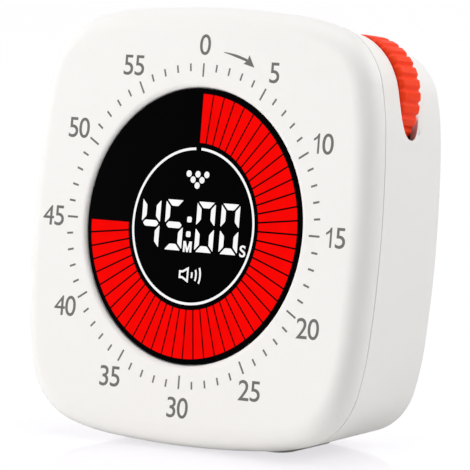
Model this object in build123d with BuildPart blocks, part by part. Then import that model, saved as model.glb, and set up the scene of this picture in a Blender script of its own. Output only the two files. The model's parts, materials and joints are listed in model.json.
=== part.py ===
"""Visual countdown timer: a soft square case that leans back on its tapered underside.

The front face is a plane that leans back. Everything is placed from it: x to the right, y up the
face, and depth into the case, square to the face. deep(depth) is the plane at that depth.
"""

from build123d import *
from math import cos, degrees, radians, sin, tan
import os

os.makedirs("parts", exist_ok=True)

# ---------------------------------------------------------------- case outline and stance
face_width = 91.6            # front face edge to edge, both ways, before its edge is rounded
case_depth = 30.5            # front face to back face
draft = 9.3                  # degrees that every side leans in towards the back
side_sweep = 5.0             # degrees of each side's gentle crown, each way from its middle
shoulder_radius = 60.0
shoulder_sweep = 15.0        # direction of the skin where the shoulder meets the corner
corner_radius = 16.8
front_round = 4.5
back_round = 3.0
foot_lift = 0.3              # gap under the lowest point of the case

# ---------------------------------------------------------------- walls and joints of the case
wall = 2.0
face_wall = 2.2
back_wall = 2.0
corner_relief = 2.0          # extra inset of the hollow behind the rounded front edge
relief_depth = 2.0
seam_depth = 4.9             # where the front shell meets the rear housing
seam_gap = 0.25              # width of the shadow line round the seam
seam_cut = 0.45              # its depth
tongue_length = 2.0
tongue_wall = 1.0
tongue_clearance = 0.1
tongue_root = 1.8

# ---------------------------------------------------------------- display stack
window_radius = 28.35
window_lip = 1.2
lens_clearance = 0.15
lens_recess = 0.5
lens_thickness = 1.2
lens_bevel = 0.2
film_thickness = 0.25
diffuser_thickness = 0.8
ledge_width = 1.0
ledge_thickness = 1.0
collar_wall = 2.1
minutes = 60
segment_outer = 27.1
segment_inner = 17.1
segment_gap = 0.45           # dark bar between neighbouring segments
ring_outer = 16.1
ring_width = 0.65
ring_break = 4.0             # degrees left out of the white ring at the top
cell_wall = 0.5
light_box_depth = 3.4
light_box_rim = 0.7           # wall outside the outermost cells
ring_webs = 6
ring_web_angle = 30.0

# ---------------------------------------------------------------- seven-segment digits
digit_height = 9.2
digit_width = 3.75
digit_stroke = 1.1
digit_gap = 0.35            # between neighbouring bars of a digit
digit_side_gap = 2.55
colon_x = -0.9               # the colon stands a little left of the dial's middle
colon_space = 2.0
colon_dot = 0.55
colon_spread = 3.0

# ---------------------------------------------------------------- boards and their screws
led_board_radius = 31.2
board_thickness = 1.2
led_post_ring_radius = 29.85
led_post_radius = 1.4
led_post_angle = 35.0
led_post_count = 4
led_screw_radius = 0.7
led_screw_head = 1.3
led_screw_head_height = 0.8
led_screw_bite = 3.0
led_length = 1.0
led_width = 0.5
led_height = 0.4
main_board_width = 35.0
main_board_height = 26.0
main_board_x = 9.5
main_board_y = -21.0
main_board_gap = 5.3         # board to the back wall's inner face
main_post_radius = 1.9
main_post_inset = 2.4
main_screw_radius = 0.9
main_screw_head = 1.7
main_screw_head_height = 1.0
main_screw_bite = 3.5
chip_size = 7.0
chip_height = 1.0
chip_bevel = 0.15
chip_x = 14.0
chip_y = -16.0

# ---------------------------------------------------------------- case screws
boss_radius = 3.3
boss_meet_depth = 12.0       # front bosses end and rear tubes begin here
boss_x = 31.0                # corner screws, each way from the middle
boss_y = 31.0
boss_top_inset = 11.8        # front face's top edge to the screw beside the wheel
boss_wheel_gap = 4.5         # that screw's tube to the wheel
case_screw_radius = 1.05
case_screw_bite = 6.5
case_screw_hole = 1.35
case_screw_head = 2.2
case_screw_head_height = 1.8
case_head_clearance = 0.3
case_head_depth = 20.0       # depth of the counterbore's floor
case_screw_slot = 0.6
case_screw_slot_depth = 0.7

# ---------------------------------------------------------------- thumbwheel
wheel_side_inset = 16.0      # front face's right edge to the wheel's axis
wheel_top_inset = 17.0       # its top edge to the wheel's axis
wheel_radius = 12.6
wheel_thickness = 6.6
wheel_setting = 0.135        # share of the free depth that is in front of the wheel's bracket
wheel_rim_round = 1.2
tooth_count = 29
groove_radius = 0.7
web_radius = 10.2
web_recess = 1.6
hub_radius = 4.0
hub_proud = 0.45
slot_side_clearance = 0.35
slot_rim_clearance = 0.45
slot_reach = 14.95           # radius of the rounded cut that makes the slot's ends
slot_end_round = 3.4
flare_width = 2.6            # soft edge behind the slot, along the skin
flare_depth = 1.2            # and square to it
flare_short = 1.1            # that edge ends this far inside the slot's reach
flare_fade = 1.4             # and draws in by this much towards its rear
shaft_radius = 1.5
shaft_clearance = 0.05

# ---------------------------------------------------------------- bracket and encoder
arm_thickness = 1.4
arm_clearance = 0.4          # bearing arm to the wheel's hub
arm_width = 8.0
post_width = 8.0
post_thickness = 4.0
post_reach = 17.2            # wheel axis to the middle of the post
bracket_foot_width = 15.6
bracket_foot_height = 2.0
bracket_screw_spread = 11.6
bracket_screw_radius = 0.8
bracket_screw_head = 1.5
bracket_screw_head_height = 0.8
bracket_pad_height = 2.4
bracket_pad_radius = 2.0
encoder_size = 8.5
encoder_depth = 4.2
encoder_corner = 0.5
encoder_hole_slack = 0.6
encoder_ribbon_width = 2.0
encoder_ribbon_stub = 3.5    # straight stretch out of the encoder
encoder_ribbon_bend = 3.0
encoder_ribbon_side = 4.0    # wheel's axis to the ribbon's outer turn
encoder_ribbon_turn = 8.0    # height of that turn on the face
encoder_ribbon_fall = 8.0    # last straight stretch, down to its connector
encoder_plug_width = 2.2
encoder_plug_length = 4.0
encoder_plug_gap = 0.4       # its connector to the board's corner post
shaft_front_stub = 0.3
shaft_in_encoder = 3.2

# ---------------------------------------------------------------- back controls
usb_x = 9.0
usb_y = -29.0
usb_width = 9.0
usb_height = 3.2
usb_wall = 0.3
usb_recess = 0.6
usb_clearance = 0.15
usb_tongue_width = 6.7
usb_tongue_thickness = 0.7
usb_tongue_length = 4.4
usb_floor = 1.2
button_radius = 3.0
button_y = -13.0
volume_x = 2.5
brightness_x = 15.5
button_clearance = 0.3
button_proud = 0.6
button_flange = 1.0
button_flange_height = 0.8
button_edge_round = 0.4
button_seat_gap = 0.05
switch_body = 5.0
switch_body_height = 2.6
switch_bore_depth = 1.2
stem_radius = 1.2
stem_clearance = 0.1
slider_x = 9.0
slider_y = -20.8
slider_length = 3.6
slider_height = 2.4
slider_travel = 1.5          # each way from the middle
slider_clearance = 0.3
slider_proud = 0.5
slider_ridge = 0.35
slider_ridges = 3
power_body_length = 9.0
power_body_width = 3.8
power_body_height = 2.8
power_slot_floor = 1.0
power_slot_margin = 0.2
slider_lift = 0.3
stem_in_switch = 0.6

# ---------------------------------------------------------------- sound, battery, magnets, feet
speaker_x = -21.5
speaker_y = -16.5
speaker_radius = 11.5
speaker_depth = 4.6
speaker_basket = 8.0
speaker_basket_depth = 2.0
mesh_thickness = 0.4
speaker_ring_wall = 1.0
speaker_ring_clearance = 0.15
grille_hole_radius = 0.7
grille_hole_gap = 1.2        # left between one ring of holes and the next
grille_rings = 3
grille_first_count = 6       # holes in the innermost ring, and how many more each further ring has
battery_thickness = 6.0
battery_screw_gap = 1.2      # battery to the screw tubes on both sides of it
battery_magnet_gap = 0.9     # battery to the magnets' cups
battery_top_inset = 10.3     # front face's top edge to the battery
battery_round = 1.5
pad_thickness = 1.0
pad_inset = 2.0
magnet_radius = 5.0
magnet_thickness = 2.0
magnet_x = 24.0
magnet_y = 2.5
magnet_clearance = 0.1
cup_wall = 1.0
foot_length = 12.0
foot_middle = 15.0           # case centre to the middle of each pad
foot_front_depth = 10.0
foot_back_inset = 4.0        # back face to the rear end of each pad
foot_height = 1.6
foot_round = 3.0
foot_clearance = 0.05

# ---------------------------------------------------------------- leads and ribbon
wire_radius = 0.5
wire_bend = 2.0
wire_drop = 7.0              # battery edge to where its leads turn to the board
wire_slope = 5.0
battery_plug_x = -1.0
battery_plug_y = -13.5
speaker_plug_x = -5.3
speaker_plug_y = -18.5
speaker_lead_x = 9.8         # speaker's middle to where its leads leave the rim
wire_gap = 0.6
plug_length = 5.0
plug_width = 4.0
plug_height = 3.0
ribbon_width = 8.0
ribbon_thickness = 0.3
ribbon_x = -1.0
ribbon_y = -25.0
connector_length = 10.0
connector_width = 3.0
connector_height = 2.4
ribbon_slack = 0.17          # how far the ribbon bows, as a share of the gap that it spans

# ---------------------------------------------------------------- worked out from the sizes above
half = face_width / 2
wheel_x = half - wheel_side_inset
wheel_y = half - wheel_top_inset
boss_top_x = wheel_x - wheel_radius - boss_wheel_gap - boss_radius
boss_top_y = half - boss_top_inset
lean = radians(draft)        # the case stands on its tapered side, so the face leans as the sides do
front_foot_y = -half + front_round * (1 + sin(lean)) / cos(lean)
front_reach = front_foot_y * sin(lean) + front_round * cos(lean) - front_round
back_centre = case_depth - back_round
back_top_y = half - (back_round + back_centre * sin(lean)) / cos(lean)
back_reach = back_top_y * sin(lean) + back_centre * cos(lean) + back_round
face_y = -(front_reach + back_reach) / 2
face_z = foot_lift + half * cos(lean)
face = Plane(origin=(0, face_y, face_z), x_dir=(1, 0, 0), z_dir=(0, -cos(lean), sin(lean)))
back_inner = case_depth - back_wall
lens_radius = window_radius - lens_clearance
film_depth = lens_recess + lens_thickness
diffuser_depth = film_depth + film_thickness
ledge_depth = diffuser_depth + diffuser_thickness
light_box_front = ledge_depth + ledge_thickness
led_board_depth = light_box_front + light_box_depth
led_board_back = led_board_depth + board_thickness
main_board_back = back_inner - main_board_gap
main_board_front = main_board_back - board_thickness
wheel_stack = wheel_thickness + 2 * (hub_proud + arm_clearance + arm_thickness) + encoder_depth
wheel_space_front = led_board_back + led_screw_head_height
wheel_free_depth = back_inner - wheel_space_front - wheel_stack
front_arm_front = wheel_space_front + wheel_setting * wheel_free_depth
front_arm_back = front_arm_front + arm_thickness
wheel_front_depth = front_arm_back + arm_clearance + hub_proud
wheel_back_depth = wheel_front_depth + wheel_thickness
slot_front = wheel_front_depth - slot_side_clearance
slot_width = wheel_thickness + 2 * slot_side_clearance
slot_back = slot_front + slot_width
flare_back = slot_back + flare_width
rear_arm_front = wheel_back_depth + hub_proud + arm_clearance
rear_arm_back = rear_arm_front + arm_thickness
minute_angle = 360 / minutes
outward = Axis(face.origin, face.z_dir)
light_box_radius = segment_outer + light_box_rim
cell_middle = (segment_outer + segment_inner) / 2
cell_length = segment_outer - segment_inner + cell_wall
shaft_end = rear_arm_back + shaft_in_encoder
bracket_foot_back = back_inner - bracket_pad_height
bracket_foot_front = bracket_foot_back - bracket_foot_height
usb_mouth = case_depth - usb_recess
power_slot_length = slider_length + 2 * (slider_travel + power_slot_margin)
slider_slot_length = slider_length + 2 * (slider_travel + slider_clearance)
slider_foot = main_board_back + power_slot_floor + slider_lift
flange_front = back_inner - button_seat_gap - button_flange_height
stem_foot = main_board_back + switch_body_height - stem_in_switch
battery_back = back_inner - pad_thickness
speaker_rim_back = back_inner - mesh_thickness
speaker_basket_back = speaker_rim_back - speaker_depth + speaker_basket_depth
wire_depth = main_board_front - plug_height / 2
battery_left = -boss_x + boss_radius + battery_screw_gap
battery_right = boss_top_x - boss_radius - battery_screw_gap
battery_top = half - battery_top_inset
battery_edge = magnet_y + magnet_radius + magnet_clearance + cup_wall + battery_magnet_gap
battery_width = battery_right - battery_left
battery_height = battery_top - battery_edge
battery_x = (battery_left + battery_right) / 2
battery_y = (battery_top + battery_edge) / 2
battery_lead_depth = battery_back - battery_thickness / 2
battery_route = [
    (battery_edge, battery_lead_depth),
    (battery_edge - wire_drop, battery_lead_depth),
    (battery_edge - wire_drop - wire_slope, wire_depth),
    (battery_plug_y + plug_length / 2, wire_depth),
]
speaker_route = [
    (speaker_x + speaker_lead_x, speaker_basket_back),
    (speaker_x + speaker_lead_x, wire_depth),
    (speaker_plug_x - plug_length / 2, wire_depth),
]
ribbon_start = led_board_back + connector_height
ribbon_end = main_board_front - connector_height
ribbon_middle = (ribbon_start + ribbon_end) / 2
ribbon_bow = ribbon_slack * (ribbon_end - ribbon_start)
ribbon_route = [(ribbon_start, 0), (ribbon_start + ribbon_bow, 0), (ribbon_middle, ribbon_bow)]
ribbon_route += [(ribbon_end - ribbon_bow, 0), (ribbon_end, 0)]
across_places = [(0, -digit_height / 2), (0, 0), (0, digit_height / 2)]
upright_places = [(sx * digit_width / 2, sy * digit_height / 4) for sx in (-1, 1) for sy in (-1, 1)]
digit_step = digit_width + digit_side_gap
digit_near = (digit_step + colon_space) / 2      # colon to a digit beside it
digit_far = digit_near + digit_step
digit_places = [(colon_x + x, 0) for x in (-digit_far, -digit_near, digit_near, digit_far)]
colon_places = [(colon_x, -colon_spread / 2), (colon_x, colon_spread / 2)]
ring_break_width = 2 * ring_outer * sin(radians(ring_break / 2))
ring_break_height = 4 * ring_width               # tall enough to cut through the ring's curve
grille_step = 2 * grille_hole_radius + grille_hole_gap
wire_offset = wire_radius + wire_gap / 2
relief_end = face_wall + relief_depth
tongue_end = seam_depth + tongue_length
tongue_inset = wall + tongue_clearance + tongue_wall
case_bosses = [(-boss_x, -boss_y), (boss_x, -boss_y), (-boss_x, boss_y), (boss_top_x, boss_top_y)]
speaker_ring_height = mesh_thickness + speaker_depth - speaker_basket_depth
magnet_places = [(-magnet_x, magnet_y), (magnet_x, magnet_y)]
post_x = main_board_width / 2 - main_post_inset
post_y = main_board_height / 2 - main_post_inset
main_posts = [(main_board_x + sx * post_x, main_board_y + sy * post_y) for sx in (-1, 1) for sy in (-1, 1)]
foot_back_depth = case_depth - foot_back_inset
foot_span = (foot_back_depth - foot_front_depth) / cos(lean)
foot_y = face_y - half * sin(lean) + foot_front_depth / cos(lean) + foot_span / 2
foot_places = [(-foot_middle, foot_y), (foot_middle, foot_y)]
bracket_screw_places = [(post_reach, -bracket_screw_spread / 2), (post_reach, bracket_screw_spread / 2)]
encoder_exit = Vector(wheel_y, -wheel_x).normalized()     # square to the line from the wheel to the middle
encoder_side = Vector(wheel_x, wheel_y) + encoder_exit * (encoder_size / 2)
encoder_plug_top = main_board_y + main_board_height / 2
encoder_plug_x = main_board_x + post_x - main_post_radius - encoder_plug_gap - encoder_plug_width / 2
encoder_ribbon_route = [
    encoder_side,
    encoder_side + encoder_exit * encoder_ribbon_stub,
    Vector(wheel_x + encoder_ribbon_side, encoder_ribbon_turn),
    Vector(encoder_plug_x, encoder_plug_top + encoder_ribbon_fall),
    Vector(encoder_plug_x, encoder_plug_top),
]


def deep(depth):
    """The plane parallel to the front face, that far behind it."""
    return face.offset(-depth)


def at(x, y, depth):
    """A point of the case, from its place on the face and its depth."""
    return deep(depth).from_local_coords(Vector(x, y, 0))


def drafted(depth):
    """How far the sides have come in at this depth."""
    return depth * tan(lean)


def crowned_square(depth, inset):
    """Case outline at this depth, that far inside the front outline: 16 tangent arcs."""
    crown = radians(side_sweep)
    turn_in = radians(shoulder_sweep)
    shoulder_share = shoulder_radius * (cos(crown) - sin(crown) - cos(turn_in) + sin(turn_in))
    corner_share = corner_radius * (cos(turn_in) - sin(turn_in))
    side_radius = (half - shoulder_share - corner_share) / (1 - cos(crown) + sin(crown))
    side_centre = half - side_radius
    shoulder_x = side_centre + (side_radius - shoulder_radius) * cos(crown)
    shoulder_y = (side_radius - shoulder_radius) * sin(crown)
    corner = shoulder_x + (shoulder_radius - corner_radius) * cos(turn_in)
    shoulder_turn = shoulder_sweep - side_sweep
    corner_turn = 90 - 2 * shoulder_sweep
    with BuildSketch(deep(depth)) as outline:
        with BuildLine():
            for turn in (0, 90, 180, 270):
                side = Vector(side_centre, 0).rotate(Axis.Z, turn)
                low = Vector(shoulder_x, shoulder_y).rotate(Axis.Z, turn)
                middle = Vector(corner, corner).rotate(Axis.Z, turn)
                high = Vector(shoulder_y, shoulder_x).rotate(Axis.Z, turn)
                CenterArc(side, side_radius - inset, turn - side_sweep, 2 * side_sweep)
                CenterArc(low, shoulder_radius - inset, turn + side_sweep, shoulder_turn)
                CenterArc(middle, corner_radius - inset, turn + shoulder_sweep, corner_turn)
                CenterArc(high, shoulder_radius - inset, turn + 90 - shoulder_sweep, shoulder_turn)
        make_face()
    return outline.sketch


def tapered(start, end, inset):
    """The two outlines of a block that follows the case's draft, inset from its skin."""
    return [crowned_square(start, drafted(start) + inset), crowned_square(end, drafted(end) + inset)]


def about_wheel(depth):
    """The plane at this depth with its origin on the wheel's axis."""
    return Plane(origin=at(wheel_x, wheel_y, depth), x_dir=face.x_dir, z_dir=face.z_dir)


def bracket_plane(depth):
    """As about_wheel, with x turned from the wheel's axis towards the middle of the case."""
    to_middle = at(0, 0, depth) - at(wheel_x, wheel_y, depth)
    return Plane(origin=at(wheel_x, wheel_y, depth), x_dir=to_middle, z_dir=face.z_dir)


relief_sections = [
    crowned_square(face_wall, drafted(face_wall) + wall + corner_relief),
    crowned_square(relief_end, drafted(relief_end) + wall),
]
with BuildSketch() as minute_sector:
    with BuildLine():
        window_half = minute_angle / 2 - degrees(segment_gap / 2 / cell_middle)
        outer = CenterArc((0, 0), segment_outer, -window_half, 2 * window_half)
        inner = CenterArc((0, 0), segment_inner, -window_half, 2 * window_half)
        Line(outer @ 0, inner @ 0)
        Line(outer @ 1, inner @ 1)
    make_face()
minute_window = minute_sector.sketch
with BuildSketch() as ring_line:
    Circle(ring_outer)
    Circle(ring_outer - ring_width, mode=Mode.SUBTRACT)
    with Locations((0, ring_outer)):
        Rectangle(ring_break_width, ring_break_height, mode=Mode.SUBTRACT)
ring_window = ring_line.sketch
with BuildSketch() as seven_bars:
    with Locations(across_places):
        Rectangle(digit_width - digit_stroke - digit_gap, digit_stroke)
    with Locations(upright_places):
        Rectangle(digit_stroke, digit_height / 2 - digit_stroke - digit_gap)
digit_windows = seven_bars.sketch
seam_ring = crowned_square(seam_depth, -seam_cut) - crowned_square(seam_depth, drafted(seam_depth) + seam_cut)

# The whole case as one rounded block, from which the two shells are cut
with BuildPart() as case_form:
    loft(sections=tapered(0, case_depth, 0), ruled=True)
    fillet(case_form.faces().sort_by(outward)[-1].edges(), front_round)
    fillet(case_form.faces().sort_by(outward)[0].edges(), back_round)

# ---------------------------------------------------------------- front shell
with BuildPart() as front_shell:
    add(case_form.part)
    split(bisect_by=deep(seam_depth), keep=Keep.TOP)
    with BuildSketch(face):
        Circle(window_radius)
    extrude(amount=-face_wall, mode=Mode.SUBTRACT)
    lip_edges = front_shell.faces().sort_by(outward)[-1].inner_wires()[0].edges()
    fillet(lip_edges, window_lip)
    loft(sections=relief_sections, ruled=True, mode=Mode.SUBTRACT)
    loft(sections=tapered(relief_end, seam_depth, wall), ruled=True, mode=Mode.SUBTRACT)
    loft(sections=tapered(seam_depth - tongue_root, seam_depth, wall), ruled=True)
    loft(sections=tapered(seam_depth, tongue_end, wall + tongue_clearance), ruled=True)
    loft(sections=tapered(seam_depth - tongue_root, tongue_end, tongue_inset), ruled=True, mode=Mode.SUBTRACT)
    with BuildSketch(deep(face_wall)):
        Circle(window_radius + collar_wall)
        Circle(window_radius, mode=Mode.SUBTRACT)
    extrude(amount=-(light_box_front - face_wall))
    with BuildSketch(deep(ledge_depth)):
        Circle(window_radius)
        Circle(window_radius - ledge_width, mode=Mode.SUBTRACT)
    extrude(amount=-ledge_thickness)
    with BuildSketch(deep(face_wall)):
        with Locations(case_bosses):
            Circle(boss_radius)
    extrude(amount=-(boss_meet_depth - face_wall))
    with BuildSketch(deep(boss_meet_depth)):
        with Locations(case_bosses):
            Circle(case_screw_radius)
    extrude(amount=case_screw_bite, mode=Mode.SUBTRACT)
    with BuildSketch(deep(light_box_front)):
        with PolarLocations(led_post_ring_radius, led_post_count, led_post_angle):
            Circle(led_post_radius)
    extrude(amount=-light_box_depth)
    with BuildSketch(deep(led_board_depth)):
        with PolarLocations(led_post_ring_radius, led_post_count, led_post_angle):
            Circle(led_screw_radius)
    extrude(amount=led_screw_bite, mode=Mode.SUBTRACT)
front_shell.part.label = "front_shell"
export_step(front_shell.part, "parts/front_shell.step")

# The wheel's slot: a disc with clearance round the wheel, and a rounder, wider one for the slot's ends
with BuildPart() as slot_ends:
    with BuildSketch(about_wheel(slot_front)):
        Circle(slot_reach)
    extrude(amount=-slot_width)
    fillet(slot_ends.edges().filter_by(GeomType.CIRCLE), slot_end_round)
with BuildPart() as slot_cut:
    with BuildSketch(about_wheel(slot_front)):
        Circle(wheel_radius + slot_rim_clearance)
    extrude(amount=-slot_width)
    fillet(slot_cut.edges().filter_by(GeomType.CIRCLE), wheel_rim_round)
    add(slot_ends.part)

# The soft edge behind the slot: what lies outside a skin that sinks towards the slot in a quarter round
with BuildPart() as slot_flare:
    with BuildSketch(about_wheel(slot_back)):
        Circle(slot_reach - flare_short)
    with BuildSketch(about_wheel(flare_back)):
        Circle(slot_reach - flare_short - flare_fade)
    loft()
    sunken_skin = []
    for share in (0, 0.15, 0.45, 1):
        depth = slot_back + share * flare_width
        sunk = flare_depth * (1 - (1 - (1 - share) ** 2) ** 0.5)
        sunken_skin.append(crowned_square(depth, drafted(depth) + sunk))
    loft(sections=sunken_skin, ruled=True, mode=Mode.SUBTRACT)

# ---------------------------------------------------------------- rear housing
with BuildPart() as rear_housing:
    add(case_form.part)
    split(bisect_by=deep(seam_depth), keep=Keep.BOTTOM)
    loft(sections=tapered(seam_depth, back_inner, wall), ruled=True, mode=Mode.SUBTRACT)
    extrude(seam_ring, amount=-seam_gap, dir=face.z_dir, mode=Mode.SUBTRACT)
    add(slot_cut.part, mode=Mode.SUBTRACT)
    add(slot_flare.part, mode=Mode.SUBTRACT)
    with BuildSketch(Plane.XY):
        with Locations(foot_places):
            RectangleRounded(foot_length + 2 * foot_clearance, foot_span + 2 * foot_clearance, foot_round)
    extrude(amount=foot_height, mode=Mode.SUBTRACT)
    with BuildSketch(deep(boss_meet_depth)):
        with Locations(case_bosses):
            Circle(boss_radius)
    extrude(amount=-(back_inner - boss_meet_depth))
    with BuildSketch(deep(boss_meet_depth)):
        with Locations(case_bosses):
            Circle(case_screw_hole)
    extrude(amount=-(case_depth - boss_meet_depth), mode=Mode.SUBTRACT)
    with BuildSketch(deep(case_head_depth)):
        with Locations(case_bosses):
            Circle(case_screw_head + case_head_clearance)
    extrude(amount=-(case_depth - case_head_depth), mode=Mode.SUBTRACT)
    with BuildSketch(deep(back_inner)):
        with Locations((speaker_x, speaker_y)):
            Circle(speaker_radius + speaker_ring_clearance + speaker_ring_wall)
            Circle(speaker_radius + speaker_ring_clearance, mode=Mode.SUBTRACT)
    extrude(amount=speaker_ring_height)
    with BuildSketch(deep(back_inner)):
        with Locations(magnet_places):
            Circle(magnet_radius + magnet_clearance + cup_wall)
            Circle(magnet_radius + magnet_clearance, mode=Mode.SUBTRACT)
    extrude(amount=magnet_thickness)
    with BuildSketch(deep(back_inner)):
        with Locations(main_posts):
            Circle(main_post_radius)
            Circle(main_screw_radius, mode=Mode.SUBTRACT)
    extrude(amount=main_board_gap)
    with BuildSketch(bracket_plane(back_inner)):
        with Locations(bracket_screw_places):
            Circle(bracket_pad_radius)
            Circle(bracket_screw_radius, mode=Mode.SUBTRACT)
    extrude(amount=bracket_pad_height)
    with BuildSketch(deep(back_inner)):
        with Locations((speaker_x, speaker_y)):
            Circle(grille_hole_radius)
            for ring in range(1, grille_rings + 1):
                with PolarLocations(ring * grille_step, ring * grille_first_count):
                    Circle(grille_hole_radius)
        with Locations((usb_x, usb_y)):
            SlotOverall(usb_width + 2 * usb_clearance, usb_height + 2 * usb_clearance)
        with Locations((volume_x, button_y), (brightness_x, button_y)):
            Circle(button_radius + button_clearance)
        with Locations((slider_x, slider_y)):
            Rectangle(slider_slot_length, slider_height + 2 * slider_clearance)
    extrude(amount=-back_wall, mode=Mode.SUBTRACT)
rear_housing.part.label = "rear_housing"
export_step(rear_housing.part, "parts/rear_housing.step")

# ---------------------------------------------------------------- display stack, front to back
with BuildPart() as display_lens:
    with BuildSketch(deep(lens_recess)):
        Circle(lens_radius)
    extrude(amount=-lens_thickness)
    chamfer(display_lens.edges().filter_by(GeomType.CIRCLE).sort_by(outward)[-1], lens_bevel)
display_lens.part.label = "display_lens"
export_step(display_lens.part, "parts/display_lens.step")

with BuildPart() as mask_film:
    with BuildSketch(deep(film_depth)):
        Circle(lens_radius)
        with PolarLocations(0, minutes, minute_angle / 2):
            add(minute_window, mode=Mode.SUBTRACT)
        add(ring_window, mode=Mode.SUBTRACT)
        with Locations(digit_places):
            add(digit_windows, mode=Mode.SUBTRACT)
        with Locations(colon_places):
            Circle(colon_dot, mode=Mode.SUBTRACT)
    extrude(amount=-film_thickness)
mask_film.part.label = "mask_film"
export_step(mask_film.part, "parts/mask_film.step")

with BuildPart() as light_diffuser:
    with BuildSketch(deep(diffuser_depth)):
        Circle(lens_radius)
    extrude(amount=-diffuser_thickness)
light_diffuser.part.label = "light_diffuser"
export_step(light_diffuser.part, "parts/light_diffuser.step")

with BuildPart() as light_box:
    with BuildSketch(deep(light_box_front)):
        Circle(light_box_radius)
        Circle(segment_outer, mode=Mode.SUBTRACT)
        Circle(segment_inner)
        with PolarLocations(cell_middle, minutes):
            Rectangle(cell_length, cell_wall)
        add(ring_window, mode=Mode.SUBTRACT)
        with PolarLocations(ring_outer, ring_webs, ring_web_angle):
            Rectangle(2 * ring_width + cell_wall, cell_wall)
        with Locations(digit_places):
            add(digit_windows, mode=Mode.SUBTRACT)
        with Locations(colon_places):
            Circle(colon_dot, mode=Mode.SUBTRACT)
    extrude(amount=-light_box_depth)
light_box.part.label = "light_box"
export_step(light_box.part, "parts/light_box.step")

with BuildPart() as led_board:
    with BuildSketch(deep(led_board_depth)):
        Circle(led_board_radius)
        with PolarLocations(led_post_ring_radius, led_post_count, led_post_angle):
            Circle(led_screw_radius, mode=Mode.SUBTRACT)
    extrude(amount=-board_thickness)
led_board.part.label = "led_board"
export_step(led_board.part, "parts/led_board.step")

with BuildPart() as ring_leds:
    with BuildSketch(deep(led_board_depth)):
        with PolarLocations(cell_middle, minutes, minute_angle / 2):
            Rectangle(led_length, led_width)
    extrude(amount=led_height)
ring_leds.part.label = "ring_leds"
export_step(ring_leds.part, "parts/ring_leds.step")

with BuildPart() as digit_leds:
    with BuildSketch(deep(led_board_depth)):
        with Locations(digit_places):
            with Locations(across_places):
                Rectangle(led_length, led_width)
            with Locations(upright_places):
                Rectangle(led_width, led_length)
        with Locations(colon_places):
            Rectangle(led_width, led_width)
    extrude(amount=led_height)
digit_leds.part.label = "digit_leds"
export_step(digit_leds.part, "parts/digit_leds.step")

with BuildPart() as led_board_screws:
    with BuildSketch(deep(led_board_back)):
        with PolarLocations(led_post_ring_radius, led_post_count, led_post_angle):
            Circle(led_screw_head)
    extrude(amount=-led_screw_head_height)
    with BuildSketch(deep(led_board_back)):
        with PolarLocations(led_post_ring_radius, led_post_count, led_post_angle):
            Circle(led_screw_radius)
    extrude(amount=board_thickness + led_screw_bite)
led_board_screws.part.label = "led_board_screws"
export_step(led_board_screws.part, "parts/led_board_screws.step")

# ---------------------------------------------------------------- case screws
with BuildPart() as case_screws:
    with BuildSketch(deep(case_head_depth)):
        with Locations(case_bosses):
            Circle(case_screw_head)
    extrude(amount=-case_screw_head_height)
    with BuildSketch(deep(case_head_depth + case_screw_head_height)):
        with Locations(case_bosses):
            Rectangle(case_screw_head, case_screw_slot)
            Rectangle(case_screw_slot, case_screw_head)
    extrude(amount=case_screw_slot_depth, mode=Mode.SUBTRACT)
    with BuildSketch(deep(case_head_depth)):
        with Locations(case_bosses):
            Circle(case_screw_radius)
    extrude(amount=case_head_depth - boss_meet_depth + case_screw_bite)
case_screws.part.label = "case_screws"
export_step(case_screws.part, "parts/case_screws.step")

# ---------------------------------------------------------------- thumbwheel, its shaft, bracket and encoder
with BuildPart() as thumbwheel:
    with BuildSketch(about_wheel(wheel_front_depth)):
        Circle(wheel_radius)
    extrude(amount=-wheel_thickness)
    fillet(thumbwheel.edges().filter_by(GeomType.CIRCLE), wheel_rim_round)
    with BuildSketch(about_wheel(wheel_front_depth)):
        with PolarLocations(wheel_radius, tooth_count):
            Circle(groove_radius)
    extrude(amount=-wheel_thickness, mode=Mode.SUBTRACT)
    for web_face, inward in ((wheel_front_depth, -web_recess), (wheel_back_depth, web_recess)):
        with BuildSketch(about_wheel(web_face)):
            Circle(web_radius)
            Circle(hub_radius, mode=Mode.SUBTRACT)
        extrude(amount=inward, mode=Mode.SUBTRACT)
    with BuildSketch(about_wheel(wheel_front_depth - hub_proud)):
        Circle(hub_radius)
    extrude(amount=-(wheel_thickness + 2 * hub_proud))
    with BuildSketch(about_wheel(wheel_front_depth - hub_proud)):
        Circle(shaft_radius)
    extrude(amount=-(wheel_thickness + 2 * hub_proud), mode=Mode.SUBTRACT)
thumbwheel.part.label = "thumbwheel"
export_step(thumbwheel.part, "parts/thumbwheel.step")

with BuildPart() as wheel_shaft:
    with BuildSketch(about_wheel(front_arm_front - shaft_front_stub)):
        Circle(shaft_radius)
    extrude(amount=-(shaft_end - front_arm_front + shaft_front_stub))
wheel_shaft.part.label = "wheel_shaft"
export_step(wheel_shaft.part, "parts/wheel_shaft.step")

with BuildPart() as wheel_bracket:
    for arm_front in (front_arm_front, rear_arm_front):
        with BuildSketch(bracket_plane(arm_front)):
            with Locations((post_reach / 2, 0)):
                SlotCenterToCenter(post_reach, arm_width)
            Circle(shaft_radius + shaft_clearance, mode=Mode.SUBTRACT)
        extrude(amount=-arm_thickness)
    with BuildSketch(bracket_plane(front_arm_front)):
        with Locations((post_reach, 0)):
            Rectangle(post_thickness, post_width)
    extrude(amount=-(bracket_foot_back - front_arm_front))
    with BuildSketch(bracket_plane(bracket_foot_back)):
        with Locations((post_reach, 0)):
            SlotOverall(bracket_foot_width, post_thickness, rotation=90)
        with Locations(bracket_screw_places):
            Circle(bracket_screw_radius, mode=Mode.SUBTRACT)
    extrude(amount=bracket_foot_height)
wheel_bracket.part.label = "wheel_bracket"
export_step(wheel_bracket.part, "parts/wheel_bracket.step")

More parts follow.
